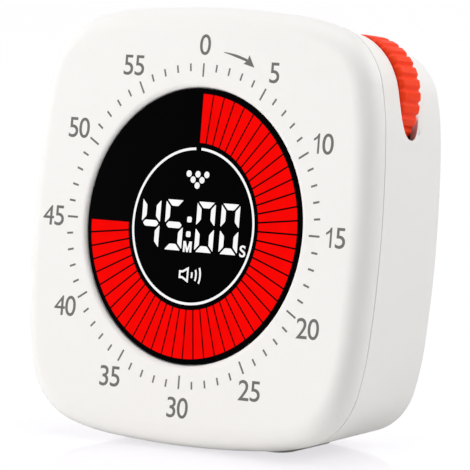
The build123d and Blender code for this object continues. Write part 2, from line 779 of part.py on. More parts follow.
with BuildPart() as bracket_screws:
    with BuildSketch(bracket_plane(bracket_foot_front)):
        with Locations(bracket_screw_places):
            Circle(bracket_screw_head)
    extrude(amount=bracket_screw_head_height)
    with BuildSketch(bracket_plane(bracket_foot_front)):
        with Locations(bracket_screw_places):
            Circle(bracket_screw_radius)
    extrude(amount=-(bracket_foot_height + bracket_pad_height))
bracket_screws.part.label = "bracket_screws"
export_step(bracket_screws.part, "parts/bracket_screws.step")

with BuildPart() as encoder:
    with BuildSketch(bracket_plane(rear_arm_back)):
        Rectangle(encoder_size, encoder_size)
    extrude(amount=-encoder_depth)
    fillet(encoder.edges().filter_by(outward), encoder_corner)
    with BuildSketch(bracket_plane(rear_arm_back)):
        Circle(shaft_radius + shaft_clearance)
    extrude(amount=-(shaft_end - rear_arm_back + encoder_hole_slack), mode=Mode.SUBTRACT)
encoder.part.label = "encoder"
export_step(encoder.part, "parts/encoder.step")

# ---------------------------------------------------------------- main board
with BuildPart() as main_board:
    with BuildSketch(deep(main_board_front)):
        with Locations((main_board_x, main_board_y)):
            Rectangle(main_board_width, main_board_height)
        with Locations(main_posts):
            Circle(main_screw_radius, mode=Mode.SUBTRACT)
    extrude(amount=-board_thickness)
main_board.part.label = "main_board"
export_step(main_board.part, "parts/main_board.step")

with BuildPart() as controller_chip:
    with BuildSketch(deep(main_board_front)):
        with Locations((chip_x, chip_y)):
            Rectangle(chip_size, chip_size)
    extrude(amount=chip_height)
    chamfer(controller_chip.faces().sort_by(outward)[-1].edges(), chip_bevel)
controller_chip.part.label = "controller_chip"
export_step(controller_chip.part, "parts/controller_chip.step")

with BuildPart() as main_board_screws:
    with BuildSketch(deep(main_board_front)):
        with Locations(main_posts):
            Circle(main_screw_head)
    extrude(amount=main_screw_head_height)
    with BuildSketch(deep(main_board_front)):
        with Locations(main_posts):
            Circle(main_screw_radius)
    extrude(amount=-(board_thickness + main_screw_bite))
main_board_screws.part.label = "main_board_screws"
export_step(main_board_screws.part, "parts/main_board_screws.step")

with BuildPart() as usb_socket:
    with BuildSketch(deep(main_board_back)):
        with Locations((usb_x, usb_y)):
            SlotOverall(usb_width, usb_height)
    extrude(amount=-(usb_mouth - main_board_back))
    with BuildSketch(deep(usb_mouth)):
        with Locations((usb_x, usb_y)):
            SlotOverall(usb_width - 2 * usb_wall, usb_height - 2 * usb_wall)
    extrude(amount=usb_mouth - main_board_back - usb_floor, mode=Mode.SUBTRACT)
    with BuildSketch(deep(main_board_back + usb_floor)):
        with Locations((usb_x, usb_y)):
            Rectangle(usb_tongue_width, usb_tongue_thickness)
    extrude(amount=-usb_tongue_length)
usb_socket.part.label = "usb_socket"
export_step(usb_socket.part, "parts/usb_socket.step")

# ---------------------------------------------------------------- power switch
with BuildPart() as power_switch:
    with BuildSketch(deep(main_board_back)):
        with Locations((slider_x, slider_y)):
            Rectangle(power_body_length, power_body_width)
    extrude(amount=-power_body_height)
    with BuildSketch(deep(main_board_back + power_body_height)):
        with Locations((slider_x, slider_y)):
            Rectangle(power_slot_length, slider_height + 2 * power_slot_margin)
    extrude(amount=power_body_height - power_slot_floor, mode=Mode.SUBTRACT)
power_switch.part.label = "power_switch"
export_step(power_switch.part, "parts/power_switch.step")

with BuildPart() as power_slider:
    with BuildSketch(deep(slider_foot)):
        with Locations((slider_x, slider_y)):
            Rectangle(slider_length, slider_height)
    extrude(amount=-(case_depth + slider_proud - slider_foot))
    with BuildSketch(deep(case_depth + slider_proud)):
        with Locations((slider_x, slider_y)):
            with GridLocations(slider_length / slider_ridges, 0, slider_ridges, 1):
                Rectangle(slider_ridge, slider_height)
    extrude(amount=slider_ridge, mode=Mode.SUBTRACT)
power_slider.part.label = "power_slider"
export_step(power_slider.part, "parts/power_slider.step")

# ---------------------------------------------------------------- push buttons, stems and their switches
for name, button_x in (("volume", volume_x), ("brightness", brightness_x)):
    with BuildPart() as button:
        with BuildSketch(deep(flange_front)):
            with Locations((button_x, button_y)):
                Circle(button_radius + button_flange)
        extrude(amount=-button_flange_height)
        with BuildSketch(deep(flange_front)):
            with Locations((button_x, button_y)):
                Circle(button_radius)
        extrude(amount=-(case_depth + button_proud - flange_front))
        fillet(button.faces().sort_by(outward)[0].edges(), button_edge_round)
    button.part.label = f"{name}_button"
    export_step(button.part, f"parts/{name}_button.step")

    with BuildPart() as stem:
        with BuildSketch(deep(stem_foot)):
            with Locations((button_x, button_y)):
                Circle(stem_radius)
        extrude(amount=-(flange_front - stem_foot))
    stem.part.label = f"{name}_stem"
    export_step(stem.part, f"parts/{name}_stem.step")

with BuildPart() as button_switches:
    with BuildSketch(deep(main_board_back)):
        with Locations((volume_x, button_y), (brightness_x, button_y)):
            Rectangle(switch_body, switch_body)
    extrude(amount=-switch_body_height)
    with BuildSketch(deep(main_board_back + switch_body_height)):
        with Locations((volume_x, button_y), (brightness_x, button_y)):
            Circle(stem_radius + stem_clearance)
    extrude(amount=switch_bore_depth, mode=Mode.SUBTRACT)
button_switches.part.label = "button_switches"
export_step(button_switches.part, "parts/button_switches.step")

# ---------------------------------------------------------------- battery
with BuildPart() as battery:
    with BuildSketch(deep(battery_back)):
        with Locations((battery_x, battery_y)):
            RectangleRounded(battery_width, battery_height, battery_round)
    extrude(amount=battery_thickness)
    fillet(battery.faces().sort_by(outward)[-1].edges(), battery_round)
battery.part.label = "battery"
export_step(battery.part, "parts/battery.step")

with BuildPart() as battery_pad:
    with BuildSketch(deep(back_inner)):
        with Locations((battery_x, battery_y)):
            Rectangle(battery_width - 2 * pad_inset, battery_height - 2 * pad_inset)
    extrude(amount=pad_thickness)
battery_pad.part.label = "battery_pad"
export_step(battery_pad.part, "parts/battery_pad.step")

# ---------------------------------------------------------------- speaker
with BuildPart() as speaker:
    with BuildSketch(deep(speaker_rim_back)):
        with Locations((speaker_x, speaker_y)):
            Circle(speaker_radius)
    extrude(amount=speaker_depth - speaker_basket_depth)
    with BuildSketch(deep(speaker_basket_back)):
        with Locations((speaker_x, speaker_y)):
            Circle(speaker_basket)
    extrude(amount=speaker_basket_depth)
speaker.part.label = "speaker"
export_step(speaker.part, "parts/speaker.step")

with BuildPart() as speaker_mesh:
    with BuildSketch(deep(back_inner)):
        with Locations((speaker_x, speaker_y)):
            Circle(speaker_radius)
    extrude(amount=mesh_thickness)
speaker_mesh.part.label = "speaker_mesh"
export_step(speaker_mesh.part, "parts/speaker_mesh.step")

# ---------------------------------------------------------------- magnets and feet
with BuildPart() as back_magnets:
    with BuildSketch(deep(back_inner)):
        with Locations(magnet_places):
            Circle(magnet_radius)
    extrude(amount=magnet_thickness)
back_magnets.part.label = "back_magnets"
export_step(back_magnets.part, "parts/back_magnets.step")

with BuildPart() as foot_pads:
    with BuildSketch(Plane.XY):
        with Locations(foot_places):
            RectangleRounded(foot_length, foot_span, foot_round)
    extrude(amount=foot_height)
foot_pads.part.label = "foot_pads"
export_step(foot_pads.part, "parts/foot_pads.step")

# ---------------------------------------------------------------- leads and ribbon
with BuildPart() as ribbon_connectors:
    with BuildSketch(deep(led_board_back)):
        with Locations((ribbon_x, ribbon_y)):
            Rectangle(connector_length, connector_width)
    extrude(amount=-connector_height)
    with BuildSketch(deep(main_board_front)):
        with Locations((ribbon_x, ribbon_y)):
            Rectangle(connector_length, connector_width)
    extrude(amount=connector_height)
ribbon_connectors.part.label = "ribbon_connectors"
export_step(ribbon_connectors.part, "parts/ribbon_connectors.step")

with BuildPart() as board_ribbon:
    with BuildSketch(Plane(origin=at(ribbon_x, ribbon_y, 0), x_dir=-face.z_dir, z_dir=face.x_dir)):
        with BuildLine():
            FilletPolyline(ribbon_route, radius=ribbon_bow)
        trace(line_width=ribbon_thickness)
    extrude(amount=ribbon_width / 2, both=True)
board_ribbon.part.label = "board_ribbon"
export_step(board_ribbon.part, "parts/board_ribbon.step")

with BuildPart() as encoder_connector:
    with BuildSketch(deep(main_board_back)):
        with Locations((encoder_plug_x, encoder_plug_top - encoder_plug_length / 2)):
            Rectangle(encoder_plug_width, encoder_plug_length)
    extrude(amount=-connector_height)
encoder_connector.part.label = "encoder_connector"
export_step(encoder_connector.part, "parts/encoder_connector.step")

with BuildPart() as encoder_ribbon:
    with BuildSketch(deep(main_board_back + (connector_height - encoder_ribbon_width) / 2)):
        with BuildLine():
            FilletPolyline(encoder_ribbon_route, radius=encoder_ribbon_bend)
        trace(line_width=ribbon_thickness)
    extrude(amount=-encoder_ribbon_width)
encoder_ribbon.part.label = "encoder_ribbon"
export_step(encoder_ribbon.part, "parts/encoder_ribbon.step")

with BuildPart() as lead_plugs:
    with BuildSketch(deep(main_board_front)):
        with Locations((battery_plug_x, battery_plug_y)):
            Rectangle(plug_width, plug_length)
        with Locations((speaker_plug_x, speaker_plug_y)):
            Rectangle(plug_length, plug_width)
    extrude(amount=plug_height)
lead_plugs.part.label = "lead_plugs"
export_step(lead_plugs.part, "parts/lead_plugs.step")

with BuildPart() as battery_leads:
    for side in (-wire_offset, wire_offset):
        with BuildLine() as route:
            corners = [at(battery_plug_x + side, y, depth) for y, depth in battery_route]
            FilletPolyline(corners, radius=wire_bend)
        with BuildSketch(Plane(origin=route.line @ 0, z_dir=route.line % 0)):
            Circle(wire_radius)
        sweep(path=route.line)
battery_leads.part.label = "battery_leads"
export_step(battery_leads.part, "parts/battery_leads.step")

with BuildPart() as speaker_leads:
    for side in (-wire_offset, wire_offset):
        with BuildLine() as route:
            corners = [at(x, speaker_plug_y + side, depth) for x, depth in speaker_route]
            FilletPolyline(corners, radius=wire_bend)
        with BuildSketch(Plane(origin=route.line @ 0, z_dir=route.line % 0)):
            Circle(wire_radius)
        sweep(path=route.line)
speaker_leads.part.label = "speaker_leads"
export_step(speaker_leads.part, "parts/speaker_leads.step")
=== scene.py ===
# %% [markdown]
# # A visual countdown timer
#
# The object is a soft square white case, about 90 mm wide and high and 30 mm deep, that leans back
# on its tapered underside. Its round black window shows the minutes left as a shrinking red ring,
# and an orange thumbwheel in the upper right corner sets the time.
#
# The construction comes ready made: every piece, inside and out, at its real size and place. This
# lesson gives it its looks. The window, the lit picture, the printed dial and the wheel are
# modelled here, the case and the small pieces in its back are smoothed, and every piece gets a
# material that says what it is made of.

# %% Load the construction
import json
import bmesh
import bpy
from math import atan2, cos, degrees, hypot, pi, radians, sin, sqrt
from mathutils import Matrix, Vector


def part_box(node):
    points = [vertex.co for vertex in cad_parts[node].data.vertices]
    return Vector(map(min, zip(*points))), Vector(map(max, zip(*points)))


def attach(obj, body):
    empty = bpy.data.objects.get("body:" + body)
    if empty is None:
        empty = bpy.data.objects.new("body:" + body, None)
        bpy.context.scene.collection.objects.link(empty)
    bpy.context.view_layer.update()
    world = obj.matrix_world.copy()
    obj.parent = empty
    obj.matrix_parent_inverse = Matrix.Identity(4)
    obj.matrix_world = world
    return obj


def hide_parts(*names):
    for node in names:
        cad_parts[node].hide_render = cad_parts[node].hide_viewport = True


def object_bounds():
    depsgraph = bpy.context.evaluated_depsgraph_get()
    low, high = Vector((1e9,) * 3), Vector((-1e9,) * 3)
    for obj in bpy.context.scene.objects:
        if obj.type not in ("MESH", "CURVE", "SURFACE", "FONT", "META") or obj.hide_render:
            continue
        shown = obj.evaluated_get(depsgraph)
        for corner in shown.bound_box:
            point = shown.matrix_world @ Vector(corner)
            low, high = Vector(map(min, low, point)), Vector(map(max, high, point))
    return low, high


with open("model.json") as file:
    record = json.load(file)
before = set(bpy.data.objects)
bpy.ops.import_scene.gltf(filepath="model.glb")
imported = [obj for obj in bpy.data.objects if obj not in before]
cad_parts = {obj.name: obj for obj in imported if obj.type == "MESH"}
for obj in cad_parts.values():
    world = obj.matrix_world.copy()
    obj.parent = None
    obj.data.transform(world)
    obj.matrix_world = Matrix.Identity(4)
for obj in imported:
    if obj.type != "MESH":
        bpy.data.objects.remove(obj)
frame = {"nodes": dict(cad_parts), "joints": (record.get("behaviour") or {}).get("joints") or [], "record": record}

cad_low, cad_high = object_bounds()
cad_nodes = frame["nodes"]
print("construction box in mm:", [round(1000 * side, 2) for side in cad_high - cad_low])

# %% [markdown]
# ## Working on the face
#
# Almost everything that shows is drawn on the front face, which leans back by about nine degrees.
# It is easier to model flat, in millimetres, with x to the right, y up the face and z out of it,
# and to lay the finished mesh on the leaning face with one matrix at the end. The lean and the
# middle of the dial are read from the construction: the wheel's axis is square to the face, and
# the round window is centred on the dial.

# %% The face's own axes
MM = 0.001
LENS_RECESS = 0.5               # window's front below the face
LENS_THICKNESS = 1.2

wheel_joint = next(joint for joint in frame["joints"] if joint["name"] == "wheel_turn")
outward = Vector(wheel_joint["axis"]).normalized()
up_face = Vector((0, outward.z, -outward.y))
lean = atan2(outward.z, -outward.y)
lens_low, lens_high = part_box("display_lens")
face_origin = (lens_low + lens_high) / 2 + outward * (LENS_RECESS + LENS_THICKNESS / 2) * MM

FACE = Matrix.Identity(4)
FACE.col[0] = (MM, 0, 0, 0)
FACE.col[1] = (*(up_face * MM), 0)
FACE.col[2] = (*(outward * MM), 0)
FACE.col[3] = (*face_origin, 1)
ON_FACE = FACE.inverted()
print("lean in degrees:", round(degrees(lean), 2), "dial centre:", [round(c, 5) for c in face_origin])


# %% [markdown]
# ## From a bmesh to a piece
#
# Each piece is made in a bmesh and goes through one small function. It lays the mesh on the face, marks the edges
# that should look crisp, gives the piece its material and parents it to an empty for the body it rides on. Smooth
# faces with a few sharp edges look like moulded plastic, while flat shading would show every facet of a round
# edge.

# %% A function that finishes a piece
materials = {}
SHARP_ANGLE = 38                # degrees
MERGED_WITHIN = 0.0005          # mm


def finish_piece(name, bm, body, slot, replaced=(), place=FACE):
    """Turns a bmesh, drawn in millimetres on the face, into a piece that rides on a body."""
    bmesh.ops.remove_doubles(bm, verts=bm.verts, dist=MERGED_WITHIN)
    bmesh.ops.recalc_face_normals(bm, faces=bm.faces)
    for face in bm.faces:
        face.smooth = True
    for edge in bm.edges:
        edge.smooth = len(edge.link_faces) == 2 and edge.calc_face_angle() < radians(SHARP_ANGLE)
    bmesh.ops.transform(bm, matrix=place, verts=bm.verts)
    mesh = bpy.data.meshes.new(name)
    bm.to_mesh(mesh)
    bm.free()
    mesh.materials.append(materials[slot])
    piece = bpy.data.objects.new(name, mesh)
    bpy.context.scene.collection.objects.link(piece)
    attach(piece, body)
    if replaced:
        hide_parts(*replaced)
    print(name, "has", len(mesh.polygons), "faces")
    return piece


# %% [markdown]
# ## Camera
#
# A long lens far away keeps the round dial nearly free of perspective. The camera stands in front
# and to the right, a little above the timer, and looks at a point beside the dial's middle.

# %% Camera in front and to the right
FRAME_PIXELS = 470
SENSOR = 36.0
CAMERA_AZIMUTH = radians(39.37)
CAMERA_ELEVATION = radians(7.47)
CAMERA_ROLL = radians(1.34)
FOCAL_PIXELS = 5000.0
PIXELS_PER_MM = 4.908           # at the dial's middle
DIAL_PIXEL_X = 191.2            # where the dial's middle falls in the picture
DIAL_PIXEL_Y = 226.22
FAR_CLIP = 10.0                 # metres

forward = Vector((-sin(CAMERA_AZIMUTH) * cos(CAMERA_ELEVATION),
                  cos(CAMERA_AZIMUTH) * cos(CAMERA_ELEVATION),
                  -sin(CAMERA_ELEVATION)))
level = forward.cross(Vector((0, 0, 1))).normalized()
right = (Matrix.Rotation(CAMERA_ROLL, 3, forward) @ level).normalized()
above = right.cross(forward)
distance = FOCAL_PIXELS / PIXELS_PER_MM * MM
aside = (DIAL_PIXEL_X - FRAME_PIXELS / 2) / PIXELS_PER_MM * MM
below = (DIAL_PIXEL_Y - FRAME_PIXELS / 2) / PIXELS_PER_MM * MM
camera_place = face_origin - forward * distance - right * aside + above * below

camera_data = bpy.data.cameras.new("camera")
camera_data.sensor_width = SENSOR
camera_data.lens = FOCAL_PIXELS * SENSOR / FRAME_PIXELS
camera_data.clip_end = FAR_CLIP
camera = bpy.data.objects.new("camera", camera_data)
camera.matrix_world = Matrix((
    (right.x, above.x, -forward.x, camera_place.x),
    (right.y, above.y, -forward.y, camera_place.y),
    (right.z, above.z, -forward.z, camera_place.z),
    (0, 0, 0, 1),
))
bpy.context.scene.collection.objects.link(camera)
bpy.context.scene.camera = camera
print("camera stands", round(distance, 2), "m away")

# %% [markdown]
# ## Colours and nodes
#
# Colours are chosen on screen as hex values, but a renderer adds up light, which needs linear
# numbers, so one function converts them. A second one adds a shader node with its settings and
# links, to a material or to the world, which keeps each recipe short enough to read at a glance.

# %% Colour and node helpers
def linear(hex_colour):
    """An sRGB hex colour such as F1EFEC as linear red, green, blue and alpha."""
    channels = [int(hex_colour[i:i + 2], 16) / 255 for i in (0, 2, 4)]
    bent = [c / 12.92 if c <= 0.04045 else ((c + 0.055) / 1.055) ** 2.4 for c in channels]
    return (*bent, 1)


def add_node(owner, kind, inputs=None, **settings):
    """Adds a node to a material or a world. inputs gives sockets a value or a node's output."""
    node = owner.node_tree.nodes.new(kind)
    for name, value in settings.items():
        setattr(node, name, value)
    for socket, value in (inputs or {}).items():
        if isinstance(value, bpy.types.NodeSocket):
            owner.node_tree.links.new(value, node.inputs[socket])
        else:
            node.inputs[socket].default_value = value
    return node


# %% [markdown]
# ## Light
#
# A product shot of a white object needs shape without harsh shadows. The world gives an even base
# level of light, and shows as plain white to the camera and in reflections. Two large soft lamps in
# front light the face, one of them low at the left, so that the round underside isn't lost. One
# lamp above lights the top, and one behind at the right lights the side. The rounded edge between
# the face and the right side faces none of them, so it turns a little darker and parts the two. The
# low lamp stands just where the black window would mirror it, so it is kept out of reflections, as
# a polarising filter does in a studio.

# %% World
WORLD_LEVEL = 0.24
WHITE_BEHIND = 1.0
scene = bpy.context.scene
scene.view_settings.view_transform = "Standard"
world = bpy.data.worlds.new("soft studio")
scene.world = world
world.use_nodes = True
world.node_tree.nodes.clear()
rays = add_node(world, "ShaderNodeLightPath")
seen_or_mirrored = add_node(world, "ShaderNodeMath", {
    0: rays.outputs["Is Camera Ray"], 1: rays.outputs["Is Glossy Ray"]}, operation="MAXIMUM")
seen_mirrored_or_through = add_node(world, "ShaderNodeMath", {
    0: seen_or_mirrored.outputs[0], 1: rays.outputs["Is Transmission Ray"]}, operation="MAXIMUM")
level_mix = add_node(world, "ShaderNodeMix", {
    "Factor": seen_mirrored_or_through.outputs[0], "A": WORLD_LEVEL, "B": WHITE_BEHIND},
    data_type="FLOAT")
background = add_node(world, "ShaderNodeBackground", {
    "Color": (1, 1, 1, 1), "Strength": level_mix.outputs["Result"]})
add_node(world, "ShaderNodeOutputWorld", {"Surface": background.outputs["Background"]})


# %% Lamps
LAMP_SIDE = 0.7                 # metres


def add_lamp(name, place, power):
    """A square soft box at a place in metres, turned towards the timer's middle."""
    lamp = bpy.data.lights.new(name, "AREA")
    lamp.shape = "SQUARE"
    lamp.size = LAMP_SIDE
    lamp.energy = power
    holder = bpy.data.objects.new(name, lamp)
    middle = (cad_low + cad_high) / 2
    holder.location = place
    holder.rotation_euler = (middle - Vector(place)).to_track_quat("-Z", "Y").to_euler()
    scene.collection.objects.link(holder)
    return holder


low_lamp = add_lamp("low left", (-0.85, -0.85, 0.20), 11.4)
low_lamp.visible_glossy = False
add_lamp("front", (0.0, -1.25, 0.30), 1.9)
add_lamp("above", (0.0, 0.0, 1.25), 5.7)
add_lamp("behind right", (0.80, 0.60, 0.75), 7.0)


# %% [markdown]
# ## Materials: the tools
#
# Every material here starts from one Principled shader. A noise of the surface's own grain can give
# it a fine bump, and the same noise can vary its roughness or its colour a little, because no
# moulded or plated surface is the same all over.

# %% Material helpers
def new_material(slot, name, hex_colour, roughness, **sockets):
    """A material with one Principled shader, its plain numbers set on the shader itself."""
    material = bpy.data.materials.new(name)
    material.use_nodes = True
    shader = material.node_tree.nodes["Principled BSDF"]
    shader.inputs["Base Color"].default_value = linear(hex_colour)
    shader.inputs["Roughness"].default_value = roughness
    for socket, value in sockets.items():
        shader.inputs[socket.replace("_", " ")].default_value = value
    materials[slot] = material
    return material, shader


def per_metre(size_mm):
    """The texture scale at which one feature is that many millimetres across."""
    return 1 / (size_mm * MM)


def add_grain(material, shader, size_mm, height_mm, detail=2.0):
    """A fine bump, as moulds and cast surfaces have, from noise of that grain size."""
    place = add_node(material, "ShaderNodeTexCoord")
    noise = add_node(material, "ShaderNodeTexNoise", {
        "Vector": place.outputs["Object"], "Scale": per_metre(size_mm), "Detail": detail})
    bump = add_node(material, "ShaderNodeBump", {
        "Height": noise.outputs["Fac"], "Distance": height_mm * MM, "Strength": 1.0})
    material.node_tree.links.new(bump.outputs["Normal"], shader.inputs["Normal"])
    return noise


NOISE_LOW, NOISE_HIGH = 0.3, 0.7    # most of a noise lies between these


def vary(material, shader, source, socket, low, high):
    """Spreads a noise over a shader number, so the surface isn't the same all over."""
    spread = add_node(material, "ShaderNodeMapRange", {
        "Value": source, "From Min": NOISE_LOW, "From Max": NOISE_HIGH, "To Min": low, "To Max": high})
    material.node_tree.links.new(spread.outputs["Result"], shader.inputs[socket])


def tint(material, shader, source, hex_low, hex_high):
    """Shifts the colour between two close shades with a noise."""
    shades = add_node(material, "ShaderNodeMix", {"Factor": source}, data_type="RGBA")
    shades.inputs["A"].default_value = linear(hex_low)
    shades.inputs["B"].default_value = linear(hex_high)
    material.node_tree.links.new(shades.outputs["Result"], shader.inputs["Base Color"])


# %% [markdown]
# ## Materials: what shows from outside
#
# The case is ABS, moulded in a spark-eroded tool. That leaves a grain of about a quarter of a
# millimetre, which breaks up highlights and makes the white look soft. The wheel and buttons are
# the same plastic with a finer finish, and the feet are silicone rubber.

# %% Case, wheel and buttons
abs_white, shader = new_material("case_white", "spark-eroded white ABS", "F2F0ED", 0.48)
grain = add_grain(abs_white, shader, 0.26, 0.006)
vary(abs_white, shader, grain.outputs["Fac"], "Roughness", 0.44, 0.54)
tint(abs_white, shader, grain.outputs["Fac"], "F0EEEB", "F4F2F0")

abs_control, shader = new_material("control_white", "satin white ABS", "E6E4E1", 0.38)
grain = add_grain(abs_control, shader, 0.18, 0.003)
vary(abs_control, shader, grain.outputs["Fac"], "Roughness", 0.34, 0.44)

abs_orange, shader = new_material("wheel_orange", "satin orange ABS", "FF3C08", 0.46,
                                  Specular_IOR_Level=0.2)
grain = add_grain(abs_orange, shader, 0.22, 0.004)
vary(abs_orange, shader, grain.outputs["Fac"], "Roughness", 0.42, 0.52)
tint(abs_orange, shader, grain.outputs["Fac"], "FC3806", "FF420C")

rubber, shader = new_material("foot_rubber", "moulded silicone rubber", "D6D4D1", 0.62)
grain = add_grain(rubber, shader, 0.35, 0.012)
vary(rubber, shader, grain.outputs["Fac"], "Roughness", 0.56, 0.70)

# %% [markdown]
# ## Materials: the window and its picture
#
# The window is black acrylic with a polished skin, and its reflections are kept faint, so that the
# black stays deep beside the lit picture. Its red and white parts are lit from behind by LEDs, so
# their materials give off light of their own: at a strength of one, the colour shows just as it is
# written. The dial's print is a flat grey ink.

# %% Lens, light and ink
acrylic, shader = new_material("lens_black", "polished black acrylic", "020203", 0.12,
                               Specular_IOR_Level=0.01)
grain = add_grain(acrylic, shader, 6.0, 0.002)
vary(acrylic, shader, grain.outputs["Fac"], "Roughness", 0.10, 0.15)


GLOW_PATCH = 3.0                # mm
DIMMEST, BRIGHTEST = 0.93, 1.0


def lit_material(slot, name, hex_colour):
    """Light that shines through the window in one colour, a little uneven as over an LED."""
    material, shader = new_material(slot, name, "020202", 0.25, Specular_IOR_Level=0.01)
    shader.inputs["Emission Color"].default_value = linear(hex_colour)
    place = add_node(material, "ShaderNodeTexCoord")
    glow = add_node(material, "ShaderNodeTexNoise", {
        "Vector": place.outputs["Object"], "Scale": per_metre(GLOW_PATCH), "Detail": 0.0})
    vary(material, shader, glow.outputs["Fac"], "Emission Strength", DIMMEST, BRIGHTEST)


lit_material("lit_red", "red LED light", "FB0300")
lit_material("lit_white", "white LED light", "FFFFFF")

ink, shader = new_material("dial_ink", "grey pad-printing ink", "686664", 0.55)
grain = add_grain(ink, shader, 0.12, 0.002)
tint(ink, shader, grain.outputs["Fac"], "63615F", "6D6B69")

# %% [markdown]
# ## Materials: what is inside
#
# The sealed pieces are seen only when the case is opened, but each one still has the surface of
# its trade: solder mask on the boards, zinc on the screws, foil on the battery. Most of them need
# no more than a colour, a roughness and a grain of the right size.

# %% Films, inner plastics and foams
plain_finishes = {
    # slot: (material, colour, second colour, roughness, grain in mm, height in mm)
    "film_black": ("black printed film", "060606", "0A0A0A", 0.60, 0.15, 0.001),
    "diffuser_milk": ("milk-white polycarbonate", "E4E3DE", "ECEBE7", 0.35, 0.40, 0.002),
    "reflector_white": ("white reflector ABS", "EDEDEB", "F3F3F1", 0.50, 0.25, 0.004),
    "board_green": ("green solder mask", "0E3B20", "145029", 0.32, 0.60, 0.010),
    "led_white": ("clear LED resin", "F3EFC9", "F8F5DC", 0.20, 0.30, 0.001),
    "black_plastic": ("glass-filled black nylon", "161617", "222224", 0.52, 0.20, 0.008),
    "connector_cream": ("cream nylon", "DCD3B8", "E6DEC6", 0.48, 0.25, 0.005),
    "foam_grey": ("grey acrylic foam", "47474A", "5A5A5D", 0.92, 0.50, 0.060),
    "mesh_black": ("black woven polyester", "0B0B0C", "1B1B1D", 0.85, 0.25, 0.050),
    "wire_red": ("red PVC insulation", "951309", "AA1B10", 0.42, 0.30, 0.003),
    "ribbon_white": ("white ribbon film", "D7DADF", "E2E5E9", 0.35, 0.50, 0.002),
    "speaker_black": ("black painted steel", "121213", "1D1D1F", 0.40, 0.25, 0.004),
}
for slot, (name, dark, light, roughness, grain_mm, height_mm) in plain_finishes.items():
    material, shader = new_material(slot, name, light, roughness)
    grain = add_grain(material, shader, grain_mm, height_mm)
    tint(material, shader, grain.outputs["Fac"], dark, light)

# %% Metals
METAL_GRAIN_HEIGHT = 0.003      # mm
metal_finishes = {
    # slot: (material, colour, roughness low and high, grain in mm)
    "screw_steel": ("zinc-plated steel", "B9BBC0", 0.28, 0.42, 0.30),
    "shaft_steel": ("ground steel", "C4C5C9", 0.18, 0.30, 0.10),
    "socket_steel": ("stamped nickel-plated steel", "BDBDC1", 0.24, 0.36, 0.40),
    "battery_foil": ("aluminium laminate foil", "C8CACE", 0.30, 0.45, 1.50),
    "magnet_nickel": ("bright nickel plate", "CFCDC8", 0.14, 0.24, 0.50),
}
for slot, (name, colour, smooth, rough, grain_mm) in metal_finishes.items():
    material, shader = new_material(slot, name, colour, smooth, Metallic=1.0)
    grain = add_grain(material, shader, grain_mm, METAL_GRAIN_HEIGHT)
    vary(material, shader, grain.outputs["Fac"], "Roughness", smooth, rough)

# %% Every piece of the construction gets the material of its slot
for part in frame["record"]["subparts"]:
    node = cad_nodes[part["node"]]
    node.data.materials.clear()
    node.data.materials.append(materials[part["material_slot"]])

# %% [markdown]
# ## The window
#
# The window is a disc of black acrylic that sits half a millimetre below the face, on a ledge. A
# cylinder would do, but a cut disc has a polished bevel at its rim that catches the light, so the
# front rim gets one. The bmesh bevel needs its settings spelled out, because its defaults differ
# from those of the editor.

# %% Black acrylic window
LENS_RADIUS = 28.2
LENS_BEVEL = 0.2
PICKING_SLACK = 0.01            # mm, when edges are picked by their height
ROUND_STEPS = 192

bm = bmesh.new()
bmesh.ops.create_cone(
    bm, cap_ends=True, segments=ROUND_STEPS, radius1=LENS_RADIUS, radius2=LENS_RADIUS,
    depth=LENS_THICKNESS, matrix=Matrix.Translation((0, 0, -LENS_RECESS - LENS_THICKNESS / 2)))
front_rim = [edge for edge in bm.edges if min(v.co.z for v in edge.verts) > -LENS_RECESS - PICKING_SLACK]
bmesh.ops.bevel(bm, geom=front_rim, offset=LENS_BEVEL, segments=3, profile=0.5,
                affect="EDGES", material=-1)
finish_piece("window", bm, "case", "lens_black", ["display_lens"])


# %% [markdown]
# ## Flat shapes on the window and on the face
#
# The lit picture and the dial's print are flat shapes. Each one starts as a face of the right
# outline and is then made a few hundredths of a millimetre thick, part of it sunk into what it lies
# on. That keeps it a closed solid, and far too thin to cast a shadow.

# %% Helpers for flat shapes
SKIN = 0.05                     # thickness of ink or of a lit patch
SUNK = 0.02                     # how much of it lies below the surface


def patch(bm, size, cuts, centre=(0, 0)):
    """A square patch about centre. Each cut is a point, from there, and the way to cut off."""
    middle = Vector((*centre, 0))
    made = bmesh.ops.create_grid(bm, x_segments=1, y_segments=1, size=size / 2,
                                 matrix=Matrix.Translation(middle))
    shape = {f for v in made["verts"] for f in v.link_faces}
    for point, away in cuts:
        geometry = {*shape, *(e for f in shape for e in f.edges), *(v for f in shape for v in f.verts)}
        kept = bmesh.ops.bisect_plane(
            bm, geom=list(geometry), plane_co=middle + Vector((*point, 0)),
            plane_no=Vector((*away, 0)), clear_outer=True)
        shape = {f for f in kept["geom"] if isinstance(f, bmesh.types.BMFace)}


def soften_corners(bm, radius):
    """Rounds the corners of every flat shape a little, as the glow of a lit window does."""
    bmesh.ops.bevel(bm, geom=list(bm.verts), offset=radius, segments=3, profile=0.5,
                    affect="VERTICES", material=-1)


def lay_skin(bm, level):
    """Makes the flat shapes thin closed solids, partly sunk into the surface at that level."""
    bmesh.ops.translate(bm, verts=bm.verts, vec=(0, 0, level - SUNK))
    raised = bmesh.ops.extrude_face_region(bm, geom=list(bm.faces))
    top = [v for v in raised["geom"] if isinstance(v, bmesh.types.BMVert)]
    bmesh.ops.translate(bm, verts=top, vec=(0, 0, SKIN))


